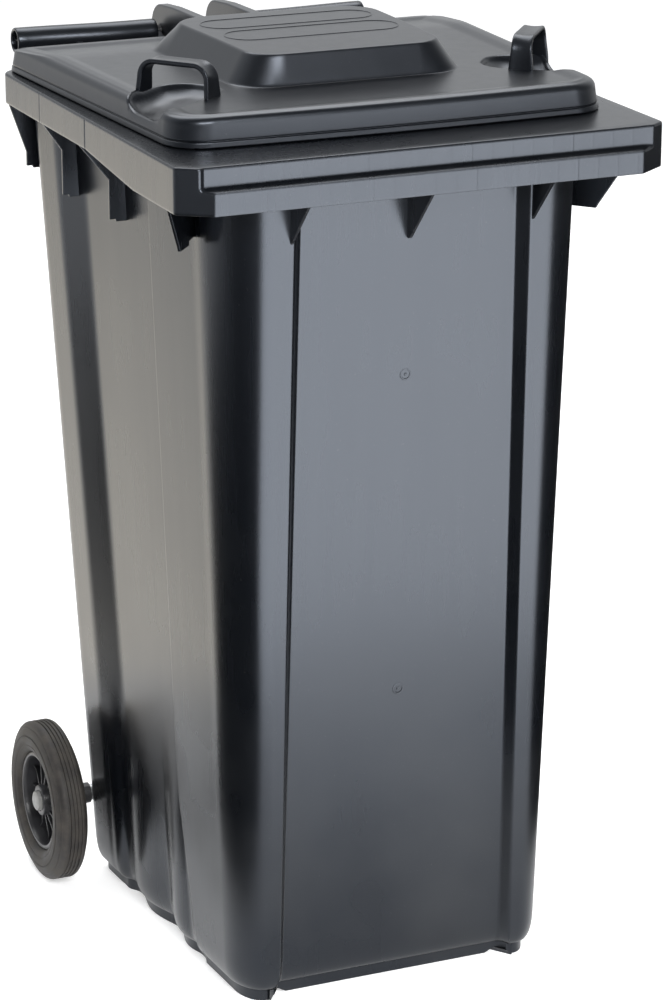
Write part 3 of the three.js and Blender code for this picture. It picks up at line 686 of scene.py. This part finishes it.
def handle_bars():
    """The two bars behind the lid, swept back at their open ends, with a cross web in each end."""
    profile = [(0, 0.5), (0, 14), (0.6, 15.4), (2, BAR_RADIUS)]
    profile += [(x, BAR_RADIUS) for x in spread(8, BAR_END - BAR_START - 3, 22)]
    reach = BAR_END - BAR_START
    profile += [(reach - 1.8, BAR_RADIUS), (reach - 0.5, 15.5), (reach, 14.8), (reach, 13.4),
                (reach - 0.5, 12.7), (reach - 2, BAR_BORE), (reach - 34, BAR_BORE - 0.6), (reach - 35, 0.5)]
    angle = np.linspace(0, 2 * np.pi, 48, endpoint=False)
    for side, word in ((-1, "left"), (1, "right")):
        rings = []
        for along, radius in profile:
            x = BAR_START + along
            sweep = smooth(x, 90, BAR_END) * BAR_SWEEP
            y = BAR_CENTRE[0] + sweep + radius * np.sin(angle)
            z = BAR_CENTRE[1] + radius * np.cos(angle)
            rings.append(np.stack([np.full(48, side * x), y, z], -1)[::-side])
        shell(f"handle_bar_{word}", rings, bin_plastic, "bin", "bin_plastic", crease=45, replaces=["body"])
    webs = Plates()
    for side in (-1, 1):
        place = (side * (BAR_END - 18), BAR_CENTRE[0] + BAR_SWEEP * 0.97, BAR_CENTRE[1])
        for across in ((0, 1, 0), (0, 0, 1)):
            slab = [(-12, -0.9), (12, -0.9), (12, 0.9), (-12, 0.9)]
            webs.add(slab, place, across, (0, 0, 1) if across[1] else (0, -1, 0), 28)
    webs.build("handle_webs", bin_plastic, "bin", "bin_plastic", bevel=0.3, replaces=["body"])


# ---------------------------------------------------------------- lid
def lid_outline(offset):
    """The lid's outline, moved in by an offset, with closer points where the finger pockets are."""
    half_front, half_rear = LID_HALF[0] - offset, LID_HALF[1] - offset

    def front(x):
        return LID_FRONT + offset + LID_BOW * (x / LID_HALF[0]) ** 2

    bend, rear_bend = LID_RADII
    corner = half_front - bend
    x = spread(0, corner, 60)
    rear = LID_REAR - offset
    side_from, side_to = front(corner) + bend, rear - rear_bend
    y = np.concatenate([spread(side_from, -90, 56), spread(-90, side_to, 60)])[1:]
    side = np.stack([mix(half_front, half_rear, (y - side_from) / (side_to - side_from)), y], -1)
    return mirrored(np.concatenate([
        np.stack([x, front(x)], -1), arc(corner, front(corner) + bend, bend, -90, 0, 46), side,
        arc(half_rear - rear_bend, side_to, rear_bend, 0, 90, 16),
        np.stack([spread(half_rear - rear_bend, 0, 46, True)[1:], np.full(45, rear)], -1)]))


def distance_to_box(x, y, halves, y0, y1, radii):
    """Signed distance from a round-cornered box whose width changes from front to rear."""
    half = mix(halves[0], halves[1], np.clip((y - y0) / (y1 - y0), 0, 1))
    middle = (y0 + y1) / 2
    radius = mix(radii[0], radii[1], smooth(y, y0, y1))
    px = np.abs(x) - half + radius
    py = np.abs(y - middle) - (y1 - y0) / 2 + radius
    return np.hypot(np.clip(px, 0, None), np.clip(py, 0, None)) + np.minimum(np.maximum(px, py), 0) - radius


def hump(x, y):
    """0 outside the raised middle's foot, 1 on its flat top."""
    base = distance_to_box(x - HUMP_SHIFT, y, *HUMP_BASE)
    crown = distance_to_box(x - HUMP_SHIFT, y, *HUMP_CROWN)
    share = -base / np.maximum(crown - base, 1)
    return ramp(share, 0.085)


def pocket_floor(x, y):
    """Height of the finger pockets' bowls; far above the lid away from them."""
    floor = np.full(x.shape, 9999.0)
    for side, (cx, cy) in GRIP_CENTRES.items():
        dx, dy = side * (x - cx), y - cy
        along = dx * math.cos(GRIP_ANGLE) + dy * math.sin(GRIP_ANGLE)
        outward = dx * math.sin(GRIP_ANGLE) - dy * math.cos(GRIP_ANGLE)
        px = np.abs(along) - POCKET_HALF + POCKET_BEND
        py = np.where(outward < 0, POCKET_INNER + POCKET_BEND - outward, -100)
        gap = np.hypot(np.clip(px, 0, None), np.clip(py, 0, None))
        gap = gap + np.minimum(np.maximum(px, py), 0) - POCKET_BEND
        edge = -distance_to_box(x, y, LID_HALF, LID_FRONT, LID_REAR, LID_RADII)
        bowl = LID_BOTTOM + 13 + 6 * smooth(-outward, -10, 46) + 9 * np.clip(1 + gap / 24, 0, None) ** 2.4
        lip = 4.2 * np.exp(-((edge - 9) / 7) ** 2) + 2 * (1 - smooth(edge, 0, 30))
        floor = np.minimum(floor, bowl + lip + np.clip(gap + 1, 0, None) * 1.7)
    return floor


def lid_top(x, y):
    """Height of the lid's upper surface, with the raised middle and the pockets."""
    edge = distance_to_box(x, y, LID_HALF, LID_FRONT, LID_REAR, LID_RADII)
    flat = LID_TOP - 2.8 * smooth(-edge, 22, 38) - 1.2 * (1 - smooth(-edge, 9, 16))
    flat = flat - 10.5 * ramp((y - 118) / 113, 0.2) - 1.0 * np.exp(-((y - LID_REAR + 9) / 1.2) ** 2)
    risen = mix(flat, HUMP_TOP - 0.9 * (y / 130) ** 2, hump(x, y))
    pocket = pocket_floor(x, y)
    soft = 5.0
    blend = np.clip(0.5 + 0.5 * (pocket - risen) / soft, 0, 1)
    return mix(pocket, risen, blend) - soft * blend * (1 - blend)


def crossing(middle, directions, inside):
    """How far along each direction from the middle a shape's edge lies; inside is below 0 within it."""
    low, high = np.zeros(len(directions)), np.full(len(directions), 400.0)
    for _ in range(30):
        half = (low + high) / 2
        within = inside(*(middle + directions * half[:, None]).T) < 0
        low, high = np.where(within, half, low), np.where(within, high, half)
    return middle + directions * low[:, None]


def lid_shell():
    inner = lid_outline(SKIRT_ROUND + 2)
    middle = np.array([0, -5])
    ray = inner - middle
    ray /= np.linalg.norm(ray, axis=1, keepdims=True)
    crown = crossing(middle, ray, lambda x, y: distance_to_box(x - HUMP_SHIFT, y, *HUMP_CROWN))
    base = crossing(middle, ray, lambda x, y: distance_to_box(x - HUMP_SHIFT, y, *HUMP_BASE))

    def lifted(points, drop):
        return np.column_stack([points, lid_top(*points.T) - drop])

    def capped(points, z):
        return np.column_stack([points, np.minimum(z, lid_top(*points.T))])

    under = [mix(middle, crown, t) for t in (0.05, 0.5, 0.9)]
    under += [mix(crown, base, t) for t in spread(-0.05, 1.1, 7)]
    under += [mix(base, inner, t) for t in spread(0.12, 1, 22, True)]
    rings = [lifted(points, LID_SKIN) for points in under]
    hidden = lid_outline(LID_SKIN + 2)
    rings += [capped(lid_outline(LID_SKIN + 4), LID_TOP - 12), capped(hidden, LID_TOP - 18),
              level(hidden, LID_BOTTOM + 1)]
    part = PARTING_Z - LID_BOTTOM
    skirt = [(LID_SKIN, 0), (0.8, 0), (0, 0.8), (0.1, 1.6), (0.5, part - 1.6), (0.6, part - 0.8),
             (1.1, part - 0.3), (1.9, part - 0.1), (2.4, part + 0.2), (2.4, part + 0.7), (1.5, part + 1.1),
             (1.3, part + 1.9), (1.4, part + 3)]
    rings += [level(lid_outline(offset), LID_BOTTOM + up) for offset, up in skirt]
    top = LID_TOP - 1.2
    rings += [capped(lid_outline(2.6), LID_TOP - 17), capped(lid_outline(3.3), top - SKIRT_ROUND)]
    for angle in np.radians(spread(12, 90, 8, True)):
        rings.append(capped(lid_outline(3.3 + (SKIRT_ROUND - 1.3) * (1 - math.cos(angle))),
                            top - SKIRT_ROUND * (1 - math.sin(angle))))
    over = [mix(inner, base, t) for t in spread(0, 0.97, 78)[1:]]
    over += [mix(base, crown, t) for t in spread(-0.12, 1.25, 30)]
    over += [mix(crown, middle, t) for t in (0.06, 0.12, 0.25, 0.4, 0.6, 0.8, 0.95)]
    rings += [lifted(points, 0) for points in over]
    shell("lid_shell", rings, lid_plastic, "lid", "lid_plastic", crease=62, replaces=["lid"])


def hump_marks():
    """Two long rounded outlines standing a little proud of the hump's top."""
    for number, (low, high) in enumerate(HUMP_MARKS):
        bend, middle = (high - low) / 2 - 0.1, (low + high) / 2
        end = arc(HUMP_MARK_HALF - bend, middle, bend, -90, 90, 26)
        outline = mirrored(np.concatenate([[[0, low]], end, [[0, high]]]))
        outline = outline + [HUMP_SHIFT, 0]
        closed = np.concatenate([outline, outline[:1]])
        dense = np.concatenate([a + (b - a) * spread(0, 1, max(1, int(np.linalg.norm(b - a) / 5)))[:, None]
                                for a, b in zip(closed[:-1], closed[1:])])
        rings = []
        for offset, up in ((1.3, -1.5), (1.3, 0.1), (0.9, 0.55), (0.1, 0.6), (-0.3, 0.1), (-0.3, -1.5)):
            points = inset(dense, -offset)
            rings.append(np.column_stack([points, lid_top(*points.T) + up]))
        faces = quads(len(rings), len(dense), wrap_rows=True)
        piece(f"hump_outline_{number}", np.concatenate(rings), faces, lid_plastic, "lid", "lid_plastic",
              replaces=["lid"])


def grip(side, word):
    """A corner grip: an arch with a hollowed top face, wider at its feet."""
    bend = GRIP_BEND
    reach, top = GRIP_HALF - GRIP_THICK / 2, GRIP_TOP - GRIP_THICK / 2
    foot = LID_BOTTOM + 20
    corner = arc(reach - bend, top - bend, bend, 0, 90, 12)
    leg = np.stack([np.linspace(reach + 2.2, reach, 12)[:-1], np.linspace(foot, top - bend, 12)[:-1]], -1)
    half = np.concatenate([leg, corner])
    path = np.concatenate([half, half[::-1] * [-1, 1]])
    tangent = np.gradient(path, axis=0)
    tangent /= np.linalg.norm(tangent, axis=1, keepdims=True)
    outward = np.stack([tangent[:, 1], -tangent[:, 0]], -1)
    widths = mix(*GRIP_WIDTHS, smooth(path[:, 1], foot + 6, top - 8))
    angle = np.linspace(0, 2 * np.pi, 40, endpoint=False)
    shape = np.stack([np.sign(np.cos(angle)) * np.abs(np.cos(angle)) ** 0.35,
                      np.sign(np.sin(angle)) * np.abs(np.sin(angle)) ** 0.35], -1)
    turn = np.array([math.cos(GRIP_ANGLE), math.sin(GRIP_ANGLE)])
    normal = np.array([turn[1], -turn[0]])
    rings = []
    for point, away, width in zip(path, outward, widths):
        across = shape[:, 0] * width / 2
        thick = shape[:, 1] * GRIP_THICK / 2
        thick = thick - np.where(shape[:, 1] > 0, 1.7 * (1 - (shape[:, 0]) ** 2) * shape[:, 1], 0)
        along = point[0] + away[0] * thick
        z = point[1] + away[1] * thick
        xy = along[:, None] * turn + across[:, None] * normal
        ring = np.column_stack([xy * [side, 1] + GRIP_CENTRES[side], z])
        rings.append(ring if side < 0 else ring[::-1])
    shell(f"lid_grip_{word}", rings, lid_plastic, "lid", "lid_plastic", crease=50, replaces=["lid"])


def lid_arms():
    """The two arms to the hinge pins, and the web between them."""
    plates = Plates()
    outline = [(108, 1036), (228, 1029), *arc(HINGE[1], HINGE[2], ARM_RADIUS, -100, 84, 30), (300, 1061),
               (112, 1064)]
    for side in (-1, 1):
        plates.side(outline, side * ARM_X[0], side * ARM_X[1])
    web = [(-ARM_X[0] - 1, 0), (ARM_X[0] + 1, 0), (ARM_X[0] + 1, 5), (-ARM_X[0] - 1, 5)]
    plates.add(web, (0, (LID_REAR + HINGE[1] - 40) / 2, 1030), (1, 0, 0), (0, 0, 1), HINGE[1] - 28 - LID_REAR)
    plates.build("lid_arms", lid_plastic, "lid", "lid_plastic", bevel=2.0, replaces=["lid"])


# ---------------------------------------------------------------- wheels
def tyre_profile():
    inner, outer, top = TYRE_LOW[0], TYRE_HIGH[0], (TYRE_HIGH[2] - TYRE_LOW[2]) / 2
    flank = [(8, TYRE_SEAT), (4.5, 63.5), (2.2, 66.5), (1.2, 70), (1.6, 71.2), (0.4, 73), (0, 77),
             (0.2, 81), (1.6, 82.2), (0.9, 83.6), (1.6, 88), (3.2, 91.5), (4.6, 92.4), (4.6, 93.6), (5.4, 96),
             (7.4, 98.4), (9.4, top - 0.4)]
    width = outer - inner
    middle = [(11, top)]
    for groove in spread(14, width - 14, TREAD_GROOVES, True):
        middle += [(groove - 1.8, top), (groove - 1.2, top - 1.8), (groove + 1.2, top - 1.8),
                   (groove + 1.8, top)]
    middle.append((width - 11, top))
    profile = [(outer - a, r) for a, r in flank] + [(outer - a, r) for a, r in middle]
    profile += [(inner + a, r) for a, r in flank[::-1]]
    return np.array(profile)


def wheel_profile():
    inner, outer = TYRE_LOW[0], TYRE_HIGH[0]
    hub_in, hub_out = WHEEL_LOW[0], WHEEL_HIGH[0]
    return np.array([(hub_in, HUB_BORE), (hub_out, HUB_BORE), (hub_out, 17.6), (hub_out - 0.8, 18.8),
                     (hub_out - 2, 19.2), (264, 20.4), (262.4, 21.4), (261.6, 24), (261.6, 48), (262.4, 51.6),
                     (264.5, 53.6), (outer - 12, 55.4), (outer - 9, 55.6), (outer - 6.6, 56.8),
                     (outer - 6.2, 59), (outer - 7, 61), (outer - 8.6, RIM_SEAT), (inner + 8.6, RIM_SEAT),
                     (inner + 7, 61), (inner + 6.2, 59), (inner + 6.6, 56.8), (inner + 9, 55.6),
                     (255.5, 53.6), (257, 51), (257.4, 48), (257.4, 24), (256.6, 21.4), (255, 20),
                     (hub_in + 2, 19), (hub_in + 0.6, 18.6), (hub_in, 17.6)])


def wheels():
    for side, word in ((-1, "left"), (1, "right")):
        body = f"wheel_{word}"

        def sided(profile):
            flipped = profile * [side, 1]
            return flipped[::-1] if side > 0 else flipped

        turned(f"tyre_tread_{word}", sided(tyre_profile()), rubber, body, "tyre", segments=144, crease=30,
               replaces=[f"tyre_{word}"])
        turned(f"wheel_disc_{word}", sided(wheel_profile()), wheel_nylon, body, "wheel_plastic", segments=96,
               crease=30, replaces=[f"wheel_rim_{word}"])
        spokes = Plates()
        outline = [(18, 247), (55, 250), (55, 270), (48, 269), (18, 273.5)]
        for number in range(SPOKES):
            turn = number * 2 * np.pi / SPOKES
            ray = (0, math.cos(turn), math.sin(turn))
            spokes.add(outline, (0, AXLE[1], AXLE[2]), ray, (side, 0, 0), SPOKE_THICK)
        spokes.build(f"wheel_spokes_{word}", wheel_nylon, body, "wheel_plastic", bevel=0.6,
                     replaces=[f"wheel_rim_{word}"])


def dress_cad_nodes():
    """The small turned pieces keep their CAD shape and get smooth shading and a finish."""
    finishes = {"axle": steel, "inner_washer": steel, "outer_washer": steel, "retaining_cap": cap_grey,
                "axle_spacer": nylon, "wheel_bush_inner": nylon, "wheel_bush_outer": nylon,
                "hinge_pin": nylon}
    for name, obj in frame["nodes"].items():
        kind = name.removesuffix("_left").removesuffix("_right")
        if kind in finishes:
            obj.data.materials.clear()
            obj.data.materials.append(finishes[kind])
            obj.data.shade_smooth()
            obj.data.set_sharp_from_angle(angle=math.radians(32))


# ---------------------------------------------------------------- studio, in metres
FLOOR_REACH = 30
DARK_REFLECTION_HEIGHT, SHEET_HEIGHT = 0.003, 0.006


def area_light(name, place, target, size, radiance, colour):
    data = bpy.data.lights.new(name, "AREA")
    data.shape = "RECTANGLE"
    data.size, data.size_y = size
    data.energy = radiance * math.pi * size[0] * size[1]
    data.color = colour
    light = bpy.data.objects.new(name, data)
    light.location = place
    aim = np.array(target, float) - np.array(place, float)
    light.rotation_euler = Vector(aim).to_track_quat("-Z", "Y").to_euler()
    light.visible_camera = False
    bpy.context.scene.collection.objects.link(light)


def studio():
    mesh = bpy.data.meshes.new("floor")
    reach = FLOOR_REACH
    mesh.from_pydata([(-reach, -reach, 0), (reach, -reach, 0), (reach, reach, 0), (-reach, reach, 0)], [],
                     [(0, 1, 2, 3)])
    mesh.materials.append(pale_floor())
    floor = bpy.data.objects.new("floor", mesh)
    bpy.context.scene.collection.objects.link(floor)

    studio_world()
    cool, warm, white = (0.99, 1.0, 1.0), (1.0, 0.90, 0.72), (1.0, 1.0, 1.0)
    bounce("front_bounce", [(-0.78, -1.1), (-1.2, -3.6), (2.9, -3.6), (0.86, -1.1)], cool, 5.7)
    bounce("front_bounce_far", [(-1.2, -3.61), (-2.1, -9.5), (7.4, -9.5), (2.9, -3.61)], cool, 7.6)
    bounce("front_bounce_near", [(0.0, -0.65), (0.0, -1.09), (0.85, -1.09), (0.5, -0.65)], cool, 1.6)
    bounce("left_bounce", [(-0.75, 0.5), (-0.35, 0.75), (-1.0, 5.2), (-2.9, 4.3)], warm, 1.45)
    area_light("lens_softbox", (-0.7, -4.2, 3.2), (0, 0, 1.05), (3.0, 1.2), 22.0, white)
    area_light("front_softbox", (2.0, -5.0, 1.62), (0, 0, 1.0), (3.2, 1.1), 4.0, white)
    area_light("overhead", (0.3, 1.9, 4.2), (0, 0.4, 0.5), (4.0, 2.4), 4.2, white)
    # The black sheets are painted dark reflections: seen only in gloss, they darken the walls' and skirts'
    # reflection of the bright floor.
    card = painted_dark_reflection()
    left = [(-0.42, -0.55), (-0.42, 0.25), (-1.9, 1.75), (-4.5, -1.0), (-3.0, -4.6), (-0.75, -4.6)]
    floor_card("left_painted_dark_reflection", left, DARK_REFLECTION_HEIGHT, card)
    floor_card("right_painted_dark_reflection", [(0.45, -0.45), (7.0, -7.5), (8.0, 5.0), (0.5, 3.0)], DARK_REFLECTION_HEIGHT, card)


def bounce(name, corners, colour, radiance):
    """A glowing sheet just over the floor, hidden from the camera, seen as a wall's bright reflection."""
    n = Nodes(name)
    n.shader.inputs["Emission Color"].default_value = (*colour, 1)
    n.shader.inputs["Emission Strength"].default_value = radiance
    grain = n.noise(3, 1)
    sheet = n.finish(n.blend(grain, (0.7, 0.7, 0.7), (0.72, 0.72, 0.72)), n.span(grain, 0, 1, 0.9, 1.0))
    floor_card(name, corners, SHEET_HEIGHT, sheet)


def studio_world():
    """Bright behind the bin, dim in front of it and overhead."""
    world = bpy.data.worlds.new("studio")
    world.use_nodes = True
    tree = world.node_tree
    place = tree.nodes.new("ShaderNodeTexCoord")
    split = tree.nodes.new("ShaderNodeSeparateXYZ")
    level_of = tree.nodes.new("ShaderNodeMapRange")
    level_of.interpolation_type = "SMOOTHSTEP"
    for key, value in (("From Min", -0.2), ("From Max", 0.55), ("To Min", 0.22), ("To Max", 0.9)):
        level_of.inputs[key].default_value = value
    tree.links.new(place.outputs["Generated"], split.inputs[0])
    tree.links.new(split.outputs["Y"], level_of.inputs["Value"])
    tree.links.new(level_of.outputs["Result"], tree.nodes["Background"].inputs["Strength"])
    tree.nodes["Background"].inputs["Color"].default_value = (0.96, 0.98, 1.0, 1)
    bpy.context.scene.world = world


def painted_dark_reflection():
    """Matt black sheet seen only in gloss: a painted dark reflection in the bin's walls and skirts, over
    floor that is really bright.
    """
    n = Nodes("painted_dark_reflection")
    n.shader.inputs["Specular IOR Level"].default_value = 0.0
    grain = n.noise(3, 1)
    return n.finish(n.blend(grain, (0.01, 0.01, 0.01), (0.014, 0.014, 0.014)), n.span(grain, 0, 1, 0.9, 1.0))


def floor_card(name, corners, height, material):
    """A card lying just over the floor, hidden from the camera and seen only in gloss."""
    mesh = bpy.data.meshes.new(name)
    mesh.from_pydata([(x, y, height) for x, y in corners], [], [tuple(range(len(corners)))])
    mesh.materials.append(material)
    card = bpy.data.objects.new(name, mesh)
    card.visible_camera = card.visible_diffuse = card.visible_shadow = False
    bpy.context.scene.collection.objects.link(card)


# ---------------------------------------------------------------- camera, in metres and degrees
CAMERA_PLACE = (-1.624, -3.791, 1.860)
CAMERA_YAW, CAMERA_PITCH, CAMERA_LENS = 23.68, 18.09, 130.2


def camera():
    data = bpy.data.cameras.new("camera")
    data.lens = CAMERA_LENS
    data.sensor_width = 36
    made = bpy.data.objects.new("camera", data)
    made.location = CAMERA_PLACE
    made.rotation_euler = (math.radians(90 - CAMERA_PITCH), 0, math.radians(-CAMERA_YAW))
    bpy.context.scene.collection.objects.link(made)
    bpy.context.scene.camera = made


# ---------------------------------------------------------------- assembly
camera()
studio()
body_walls()
injection_marks()
rim()
gussets()
rear_brackets()
axle_ribs()
handle_bars()
lid_shell()
hump_marks()
grip(-1, "left")
grip(1, "right")
lid_arms()
wheels()
dress_cad_nodes()
bpy.context.scene.view_settings.view_transform = "Standard"
